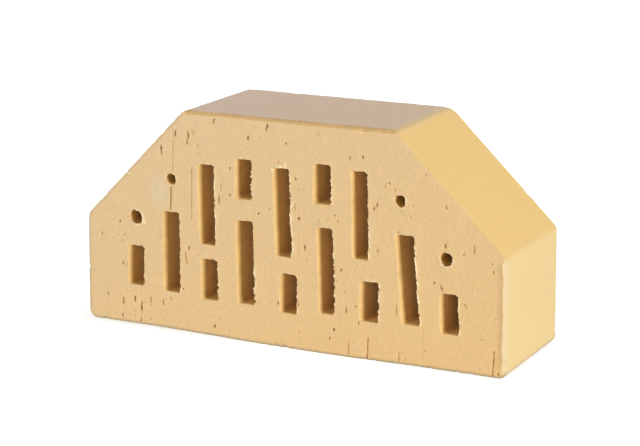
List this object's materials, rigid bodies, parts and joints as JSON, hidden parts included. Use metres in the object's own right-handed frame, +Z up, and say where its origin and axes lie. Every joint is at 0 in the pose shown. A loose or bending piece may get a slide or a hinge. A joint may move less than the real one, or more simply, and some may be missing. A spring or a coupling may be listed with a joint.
{
  "type": "clay brick",
  "caption": "Buff clay facing brick with both upper corners cut off at 45 degrees, wire-cut bed faces and rows of slots and small round holes from bed to bed.",
  "frame": {"origin": "middle of the underside, the long side that the brick stands on", "axes": "+X along the length, +Y through the thickness away from the front bed face, +Z up"},
  "size_m": [0.24, 0.072, 0.12],
  "materials": {
    "fired_clay": "matte fired clay, wire-cut on the bed faces and smoother on the others"
  },
  "bodies": {
    "root": {"brick": "fired_clay"}
  },
  "joints": []
}
